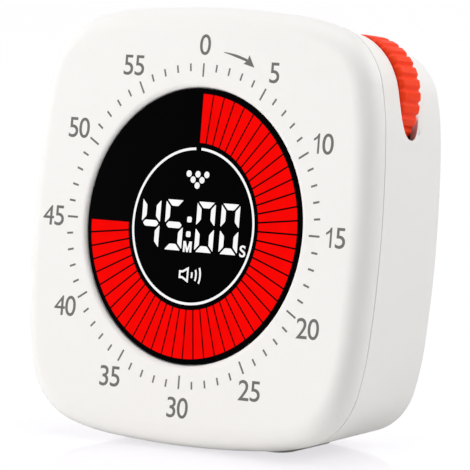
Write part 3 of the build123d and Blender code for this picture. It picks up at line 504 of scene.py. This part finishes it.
def ring_sector(bm, inner, outer, start, sweep, steps):
    """A flat part of a ring. Angles in degrees run clockwise from twelve o'clock."""
    turn = Matrix.Rotation(-radians(start), 3, "Z")
    ends = [bm.verts.new(turn @ Vector((0, r, 0))) for r in (inner, outer)]
    spoke = bm.edges.new(ends)
    bmesh.ops.spin(bm, geom=[*ends, spoke], axis=(0, 0, 1), cent=(0, 0, 0),
                   angle=-radians(sweep), steps=steps)


def join_into(bm, part):
    """Adds one bmesh to another and frees it."""
    mesh = bpy.data.meshes.new("part")
    part.to_mesh(mesh)
    part.free()
    bm.from_mesh(mesh)
    bpy.data.meshes.remove(mesh)


# %% [markdown]
# ## The red ring of minutes
#
# Sixty small windows in the mask film make the ring, one for each minute. With forty-five minutes
# left, the first forty-five glow red, from twelve round to nine o'clock. The bars between them
# are the same width from inside to outside, so each window is a ring sector with its two sides
# cut parallel to the bars instead of along the radius.

# %% Red minutes
SEGMENT_OUTER = 27.1
SEGMENT_INNER = 17.1
SEGMENT_GAP = 0.34
MINUTES = 60
MINUTES_LEFT = 45
MINUTE_STEPS = 3                # straight pieces in one minute's arc
LENS_LEVEL = -LENS_RECESS

bm = bmesh.new()
minute_angle = 360 / MINUTES
for minute in range(MINUTES_LEFT):
    one = bmesh.new()
    ring_sector(one, SEGMENT_INNER, SEGMENT_OUTER, minute * minute_angle, minute_angle, MINUTE_STEPS)
    for edge_angle, side in ((minute * minute_angle, -1), ((minute + 1) * minute_angle, 1)):
        spoke = Vector((sin(radians(edge_angle)), cos(radians(edge_angle)), 0))
        across = side * Vector((spoke.y, -spoke.x, 0))
        bmesh.ops.bisect_plane(one, geom=[*one.verts, *one.edges, *one.faces],
                               plane_co=-across * SEGMENT_GAP / 2, plane_no=across,
                               clear_outer=True)
    join_into(bm, one)
lay_skin(bm, LENS_LEVEL)
finish_piece("minutes_left", bm, "case", "lit_red")

# %% [markdown]
# ## The white ring
#
# A thin white ring parts the minutes from the time. It is open for 1.4 mm at twelve o'clock, where
# the mask film's middle is held.

# %% White ring
RING_OUTER = 16.1
RING_WIDTH = 0.52
RING_BREAK = 5.0                # degrees

bm = bmesh.new()
ring_sector(bm, RING_OUTER - RING_WIDTH, RING_OUTER, RING_BREAK / 2, 360 - RING_BREAK, ROUND_STEPS)
lay_skin(bm, LENS_LEVEL)
finish_piece("white_ring", bm, "case", "lit_white")

# %% [markdown]
# ## The time
#
# The digits are the classic seven bars. Every bar is a rectangle whose ends are mitred at 45
# degrees, and the bars part along the mitre by a hairline. So a bar can be cut out of a patch by
# its own two long sides and by the mitre lines of the digit's corners. The middle bar has a mitre
# on both sides of each end, which makes it a long hexagon.

# %% Seven-bar digits
DIGIT_HEIGHT = 10.3
DIGIT_WIDTH = 4.82
BAR_UPRIGHT = 1.15              # width of the upright bars
BAR_LEVEL = 1.28                # width of the level bars
MITRE_GAP = 0.46
BAR_SOFTENED = 0.24
DIGIT_CENTRES = {-11.2: "4", -5.0: "5", 3.25: "0", 9.65: "0"}
BARS_OF = {"4": "fgbc", "5": "afgcd", "0": "abcdef"}


def digit_bar(bm, bar, centre_x):
    """Cuts one bar, named a to g in the usual way, out of a patch the size of the digit."""
    half_width, half_height = DIGIT_WIDTH / 2, DIGIT_HEIGHT / 2
    slack = MITRE_GAP / 2 * sqrt(2)
    up = 1 if bar in "abf" else -1
    if bar in "ad":
        cuts = [((0, up * half_height), (0, up)),
                ((0, up * (half_height - BAR_LEVEL)), (0, -up)),
                ((-half_width + slack, up * half_height), (-1, -up)),
                ((half_width - slack, up * half_height), (1, -up))]
    elif bar == "g":
        cuts = [((0, BAR_LEVEL / 2), (0, 1)), ((0, -BAR_LEVEL / 2), (0, -1))]
        cuts += [((side * (half_width - slack), 0), (side, tilt)) for side in (-1, 1) for tilt in (-1, 1)]
    else:
        side = 1 if bar in "bc" else -1
        cuts = [((side * half_width, 0), (side, 0)),
                ((side * (half_width - BAR_UPRIGHT), 0), (-side, 0)),
                ((side * half_width, up * (half_height - slack)), (side, up)),
                ((side * half_width, up * (half_height - slack)), (-side, up)),
                ((side * half_width, up * slack), (-side, -up))]
    patch(bm, 2 * DIGIT_HEIGHT, cuts, (centre_x, 0))


bm = bmesh.new()
for centre_x, digit in DIGIT_CENTRES.items():
    for bar in BARS_OF[digit]:
        digit_bar(bm, bar, centre_x)
soften_corners(bm, BAR_SOFTENED)
lay_skin(bm, LENS_LEVEL)
finish_piece("digits", bm, "case", "lit_white")

# %% [markdown]
# ## Signs beside the time
#
# Two square dots part the minutes from the seconds, and a small M and S name them. Six round dots
# above them point down, and a loudspeaker below says that the alarm sounds. They are the plain
# signs that such displays share. The S comes from the built-in font: as a text object first, then
# made a mesh, so it can be laid on the window like every other patch. The M has an outline of its
# own, with upright sides and a deep notch. Such an outline has its edges made before its face,
# because a face made from bare corners may join them in another order and fill a notch.

# %% Colon and the triangle of dots
COLON_X = -1.0
COLON_SIZE = 1.18
COLON_HEIGHTS = (1.33, -1.67)
COLON_SOFTENED = 0.3
DOT_RADIUS = 0.67
DOT_STEP = 2.34
DOT_ROWS = ((10.67, 3), (9.5, 2), (8.36, 1))    # height and number of dots
DOT_SIDES = 32
DOTS_X = 0.3

bm = bmesh.new()
square_sides = [((COLON_SIZE / 2 * x, COLON_SIZE / 2 * y), (x, y))
                for x, y in ((1, 0), (-1, 0), (0, 1), (0, -1))]
for height in COLON_HEIGHTS:
    patch(bm, 2 * COLON_SIZE, square_sides, (COLON_X, height))
soften_corners(bm, COLON_SOFTENED)
for height, count in DOT_ROWS:
    for place in range(count):
        x = DOTS_X + (place - (count - 1) / 2) * DOT_STEP
        bmesh.ops.create_circle(bm, cap_ends=True, segments=DOT_SIDES, radius=DOT_RADIUS,
                                matrix=Matrix.Translation((x, height, 0)))
lay_skin(bm, LENS_LEVEL)
finish_piece("colon_and_dots", bm, "case", "lit_white")


# %% Functions for letters and outlines
CAPITAL_HEIGHT = 0.682          # of the built-in font, per unit of text size


def add_letters(bm, text, centre, height, widen, heavier):
    """Adds text as flat faces: its capitals have the height, and its box is centred."""
    curve = bpy.data.curves.new("letters", "FONT")
    curve.body = text
    curve.size = height / CAPITAL_HEIGHT
    curve.offset = heavier
    holder = bpy.data.objects.new("letters", curve)
    mesh = bpy.data.meshes.new_from_object(holder)
    xs = [v.co.x for v in mesh.vertices]
    ys = [v.co.y for v in mesh.vertices]
    middle = Vector(((min(xs) + max(xs)) / 2, (min(ys) + max(ys)) / 2, 0))
    mesh.transform(Matrix.Translation((*centre, 0)) @ Matrix.Diagonal((widen, 1, 1, 1))
                   @ Matrix.Translation(-middle))
    bm.from_mesh(mesh)
    bpy.data.objects.remove(holder)
    bpy.data.curves.remove(curve)
    bpy.data.meshes.remove(mesh)
    return (max(xs) - min(xs)) * widen, max(ys) - min(ys)


def add_outline(bm, points, centre, size):
    """Adds one flat shape and returns it. Its points are for a size of one, about its centre."""
    corners = [bm.verts.new((centre[0] + size * x, centre[1] + size * y, 0)) for x, y in points]
    outline = [bm.edges.new((corner, corners[i - 1])) for i, corner in enumerate(corners)]
    return bmesh.ops.contextual_create(bm, geom=outline)["faces"]


# %% M and S
LETTER_HEIGHT = 2.23
LETTER_HEAVIER = 0.06
LETTER_WIDER = 1.12
M_PLACE, S_PLACE = (-1.0, -4.23), (13.5, -4.23)
M_OUTLINE = ((-0.5, -0.5), (-0.5, 0.5), (-0.22, 0.5), (0, -0.17), (0.22, 0.5), (0.5, 0.5),
             (0.5, -0.5), (0.29, -0.5), (0.29, 0.12), (0.09, -0.5), (-0.09, -0.5),
             (-0.29, 0.12), (-0.29, -0.5))

bm = bmesh.new()
add_outline(bm, M_OUTLINE, M_PLACE, LETTER_HEIGHT)
print("S is", add_letters(bm, "S", S_PLACE, LETTER_HEIGHT, LETTER_WIDER, LETTER_HEAVIER), "mm")
lay_skin(bm, LENS_LEVEL)
finish_piece("letters", bm, "case", "lit_white")

# %% [markdown]
# ## The loudspeaker sign
#
# Its outline is a box that opens into a horn, drawn as a line of even width, with three arcs for
# the sound. An even line round a shape is that shape inset evenly, with its middle taken away. The
# arcs are ring sectors about one point inside the horn.

# %% Loudspeaker sign
SIGN_HEIGHT_Y = -9.93
SIGN_LINE = 0.42
HORN_OUTLINE = ((-2.65, 0.8), (-1.75, 0.8), (-0.15, 1.65), (-0.15, -1.65), (-1.75, -0.8), (-2.65, -0.8))
SOUND_ARCS = ((0.77, 1.2), (1.86, 2.4), (2.95, 3.45))    # how far right each one lies, its height
ARCS_CENTRE_X = -1.2
ARC_STEPS = 12

bm = bmesh.new()
horn = add_outline(bm, HORN_OUTLINE, (0, SIGN_HEIGHT_Y), 1)
bmesh.ops.inset_region(bm, faces=horn, thickness=SIGN_LINE, use_boundary=True, use_even_offset=True)
bmesh.ops.delete(bm, geom=horn, context="FACES_ONLY")
for arc_x, arc_height in SOUND_ARCS:
    arc_reach = arc_x - ARCS_CENTRE_X
    half_angle = atan2(arc_height / 2, arc_reach)
    arc = bmesh.new()
    ring_sector(arc, arc_reach - SIGN_LINE / 2, arc_reach + SIGN_LINE / 2,
                90 - degrees(half_angle), 2 * degrees(half_angle), ARC_STEPS)
    bmesh.ops.translate(arc, verts=arc.verts, vec=(arc_x - arc_reach, SIGN_HEIGHT_Y, 0))
    join_into(bm, arc)
lay_skin(bm, LENS_LEVEL)
finish_piece("loudspeaker_sign", bm, "case", "lit_white")

# %% [markdown]
# ## The printed dial
#
# The minutes are pad-printed on the face: a line for each, a longer one for every fifth, and a
# number beside that. They run clockwise, as on a clock. The numbers stand upright, so that they
# can all be read without turning the head. The built-in font draws a 1 as a plain bar, so the 1 has
# an outline of its own, with a flag. The others are made a little heavier, except the 4, whose
# small hole that would fill.

# %% Lines of the dial
TICK_OUTER = 33.3
TICK_LONG = 2.75
TICK_SHORT = 1.58
TICK_WIDTH = 0.42
LONG_EVERY = 5                  # minutes

bm = bmesh.new()
for minute in range(MINUTES):
    length = TICK_LONG if minute % LONG_EVERY == 0 else TICK_SHORT
    bmesh.ops.create_grid(bm, x_segments=1, y_segments=1, size=0.5, matrix=(
        Matrix.Rotation(-radians(minute * minute_angle), 4, "Z")
        @ Matrix.Translation((0, TICK_OUTER - length / 2, 0))
        @ Matrix.Diagonal((TICK_WIDTH, length, 1, 1))))
lay_skin(bm, 0)
finish_piece("dial_lines", bm, "case", "dial_ink")

# %% Numbers of the dial
NUMBER_HEIGHT = 4.07
NUMBER_RADIUS = 37.1
NUMBER_HEAVIER = {"0": 0.03, "2": 0.03, "3": 0.03, "4": 0.0, "5": 0.03}
NUMBER_WIDER = 1.06
DIGIT_STEP = 2.95               # from one digit's middle to the next one's
ONE_OUTLINE = ((0.19, -0.5), (0.19, 0.5), (0.11, 0.5), (0.02, 0.36), (-0.18, 0.23), (-0.18, 0.12),
               (-0.04, 0.18), (0.07, 0.27), (0.07, -0.5))

bm = bmesh.new()
for minute in range(0, MINUTES, LONG_EVERY):
    angle = radians(minute * minute_angle)
    number = str(minute)
    for place, digit in enumerate(number):
        x = NUMBER_RADIUS * sin(angle) + DIGIT_STEP * (place - (len(number) - 1) / 2)
        y = NUMBER_RADIUS * cos(angle)
        if digit == "1":
            add_outline(bm, ONE_OUTLINE, (x, y), NUMBER_HEIGHT)
        else:
            size = add_letters(bm, digit, (x, y), NUMBER_HEIGHT, NUMBER_WIDER, NUMBER_HEAVIER[digit])
            print(digit, "is", [round(side, 2) for side in size])
lay_skin(bm, 0)
finish_piece("dial_numbers", bm, "case", "dial_ink")

# %% [markdown]
# ## The arrow
#
# An arrow between 0 and 5 says which way the wheel sets the time. Its shaft starts hair-thin and
# widens to the head. A flat band spun through the arc gives it its bend, and its inner and outer
# edges then draw together towards the tail.

# %% Arrow
ARROW_START = 8.0               # degrees clockwise from twelve o'clock
ARROW_SWEEP = 10.2
ARROW_RADIUS = 36.1
ARROW_LINE = 0.56
ARROW_TAIL_LINE = 0.14
ARROW_TAPER = 0.5               # share of the shaft that is tapered
ARROW_STEPS = 24
# tip, outer barb, end of the shaft and inner barb, from the dial's middle
ARROW_HEAD = ((13.22, 32.97), (11.69, 35.46), (11.32, 34.34), (10.33, 33.63))

bm = bmesh.new()
ring_sector(bm, ARROW_RADIUS - ARROW_LINE / 2, ARROW_RADIUS + ARROW_LINE / 2,
            ARROW_START, ARROW_SWEEP, ARROW_STEPS)
for v in bm.verts:
    along = (degrees(atan2(v.co.x, v.co.y)) - ARROW_START) / ARROW_SWEEP
    line = ARROW_TAIL_LINE + (ARROW_LINE - ARROW_TAIL_LINE) * min(1, along / ARROW_TAPER)
    radius = v.co.length
    v.co *= (ARROW_RADIUS + (radius - ARROW_RADIUS) * line / ARROW_LINE) / radius
add_outline(bm, ARROW_HEAD, (0, 0), 1)
lay_skin(bm, 0)
finish_piece("dial_arrow", bm, "case", "dial_ink")

# %% [markdown]
# ## The thumbwheel
#
# The wheel is a thick disc with twenty-nine grooves across its rim, so that a thumb can turn it
# without slipping. All of its ribs are alike, so one slice is enough: half a section is drawn in
# the plane of the axis, spun through one rib in small steps, pressed in where the groove lies,
# and then spun on as copies all the way round.

# %% Pens that draw a section
def line_to(bm, vert, x, z):
    """Draws a straight line from the last point of a section, and returns its new end."""
    made = bmesh.ops.extrude_vert_indiv(bm, verts=[vert])
    end = made["verts"][0]
    end.co = (x, 0, z)
    return end


def arc_about(bm, vert, x, z, sweep, steps):
    """Draws an arc about a centre. A positive sweep, in degrees, turns from z towards x."""
    made = bmesh.ops.spin(bm, geom=[vert], axis=(0, 1, 0), cent=(x, 0, z),
                          angle=radians(sweep), steps=steps)
    return next(v for v in made["geom_last"] if isinstance(v, bmesh.types.BMVert))


# %% Thumbwheel
WHEEL_X, WHEEL_Y = 29.8, 28.8
WHEEL_FRONT, WHEEL_BACK = -11.947, -18.547
WHEEL_RADIUS = 12.6
WHEEL_ROUND = 1.2
WHEEL_ROUND_STEPS = 6
WHEEL_RIBS = 29
RIB_STEPS = 12
RIB_PHASE = 3.7                 # degrees the ribs are turned on, so one stands nearly upright
GROOVE_DEPTH = 0.5
GROOVE_SHARE = 0.38             # of one rib's pitch
GROOVE_FULLNESS = 0.7           # 1 gives a groove shaped as a parabola, and less a fuller one
RIM_STEP = 1.0                  # what lies this near the web isn't pressed in
WEB_RADIUS = 10.2
WEB_RECESS = 1.6
HUB_RADIUS = 4.0
HUB_PROUD = 0.45
BORE_RADIUS = 1.0

bm = bmesh.new()
start = bm.verts.new((BORE_RADIUS, 0, WHEEL_FRONT + HUB_PROUD))
pen = line_to(bm, start, HUB_RADIUS, WHEEL_FRONT + HUB_PROUD)
pen = line_to(bm, pen, HUB_RADIUS, WHEEL_FRONT - WEB_RECESS)
pen = line_to(bm, pen, WEB_RADIUS, WHEEL_FRONT - WEB_RECESS)
pen = line_to(bm, pen, WEB_RADIUS, WHEEL_FRONT)
pen = line_to(bm, pen, WHEEL_RADIUS - WHEEL_ROUND, WHEEL_FRONT)
pen = arc_about(bm, pen, WHEEL_RADIUS - WHEEL_ROUND, WHEEL_FRONT - WHEEL_ROUND, 90,
                WHEEL_ROUND_STEPS)
pen = line_to(bm, pen, WHEEL_RADIUS, WHEEL_BACK + WHEEL_ROUND)
pen = arc_about(bm, pen, WHEEL_RADIUS - WHEEL_ROUND, WHEEL_BACK + WHEEL_ROUND, 90,
                WHEEL_ROUND_STEPS)
print("wheel section:", len(bm.verts), "points, from", [round(c, 2) for c in start.co],
      "to", [round(c, 2) for c in pen.co])

pen = line_to(bm, pen, BORE_RADIUS, WHEEL_BACK)
bm.edges.new((pen, start))
pitch = 2 * pi / WHEEL_RIBS
bmesh.ops.spin(bm, geom=[*bm.verts, *bm.edges], axis=(0, 0, 1), cent=(0, 0, 0), angle=pitch,
               steps=RIB_STEPS)
for v in bm.verts:
    radius = hypot(v.co.x, v.co.y)
    across = (atan2(v.co.y, v.co.x) - pitch / 2) / (GROOVE_SHARE * pitch / 2)
    if radius > WEB_RADIUS + RIM_STEP and abs(across) < 1:
        pressed = 1 - GROOVE_DEPTH * (1 - across ** 2) ** GROOVE_FULLNESS / radius
        v.co.x *= pressed
        v.co.y *= pressed
bmesh.ops.spin(bm, geom=[*bm.verts, *bm.edges, *bm.faces], axis=(0, 0, 1), cent=(0, 0, 0),
               angle=2 * pi - pitch, steps=WHEEL_RIBS - 1, use_duplicate=True)
bmesh.ops.transform(bm, verts=bm.verts, matrix=Matrix.Translation((WHEEL_X, WHEEL_Y, 0))
                    @ Matrix.Rotation(radians(RIB_PHASE), 4, "Z"))
finish_piece("ribbed_thumbwheel", bm, "wheel", "wheel_orange", ["thumbwheel"])


# %% [markdown]
# ## The case and the pieces in its back
#
# The two halves of the case are already exact in the construction, with their slot, grille and
# screw wells. What they lack is smoothness: their meshes are loose triangles, which the renderer
# would show as facets. A copy with its doubles merged can be shaded smooth, and a Weighted Normal
# modifier keeps the large faces flat right up to their rounded edges. The small pieces that show in
# the back and underneath are copied in the same way.

# %% Smooth copies of moulded pieces
def smooth_copy(name, node, body, slot):
    """Stands in for a construction piece with the same shape, merged and shaded smooth."""
    bm = bmesh.new()
    bm.from_mesh(cad_nodes[node].data)
    bmesh.ops.transform(bm, matrix=ON_FACE, verts=bm.verts)
    piece = finish_piece(name, bm, body, slot, [node])
    weighted = piece.modifiers.new("weighted normals", "WEIGHTED_NORMAL")
    weighted.keep_sharp = True


smooth_copy("front_case", "front_shell", "case", "case_white")
smooth_copy("rear_case", "rear_housing", "case", "case_white")

SLOT_OF = {part["node"]: part["material_slot"] for part in frame["record"]["subparts"]}
SEEN_FROM_BEHIND = {
    "foot_pads": "case", "case_screws": "case", "usb_socket": "case", "power_slider": "switch_knob",
    "volume_button": "volume_key", "brightness_button": "brightness_key"}
for node, body in SEEN_FROM_BEHIND.items():
    smooth_copy("smooth_" + node, node, body, SLOT_OF[node])

# %% [markdown]
# ## Floor
#
# The floor is white and lacquered, so it takes the timer's soft shadow and a faint mirror image.
# At the light that suits the case it would come out grey. So the camera, and no other ray, sees a
# good half of it as a plain glow, which makes the ground white and leaves the timer's light alone.

# %% Floor
FLOOR_REACH = 6.0               # metres each way from the middle
GLOW_SHARE = 0.6
GLOW_STRENGTH = 1.17

floor_bm = bmesh.new()
bmesh.ops.create_grid(floor_bm, x_segments=1, y_segments=1, size=FLOOR_REACH)
floor_mesh = bpy.data.meshes.new("floor")
floor_bm.to_mesh(floor_mesh)
floor_bm.free()
floor = bpy.data.objects.new("floor", floor_mesh)
scene.collection.objects.link(floor)
floor_paint, shader = new_material("floor", "white lacquered table", "F0F0F0", 0.06)
rays = add_node(floor_paint, "ShaderNodeLightPath")
camera_share = add_node(floor_paint, "ShaderNodeMath", {
    0: rays.outputs["Is Camera Ray"], 1: GLOW_SHARE}, operation="MULTIPLY")
plain_glow = add_node(floor_paint, "ShaderNodeEmission", {
    "Color": linear("FDFBFF"), "Strength": GLOW_STRENGTH})
lifted = add_node(floor_paint, "ShaderNodeMixShader", {
    0: camera_share.outputs[0], 1: shader.outputs[0], 2: plain_glow.outputs[0]})
surface = floor_paint.node_tree.nodes["Material Output"].inputs["Surface"]
floor_paint.node_tree.links.new(lifted.outputs[0], surface)
floor_mesh.materials.append(floor_paint)
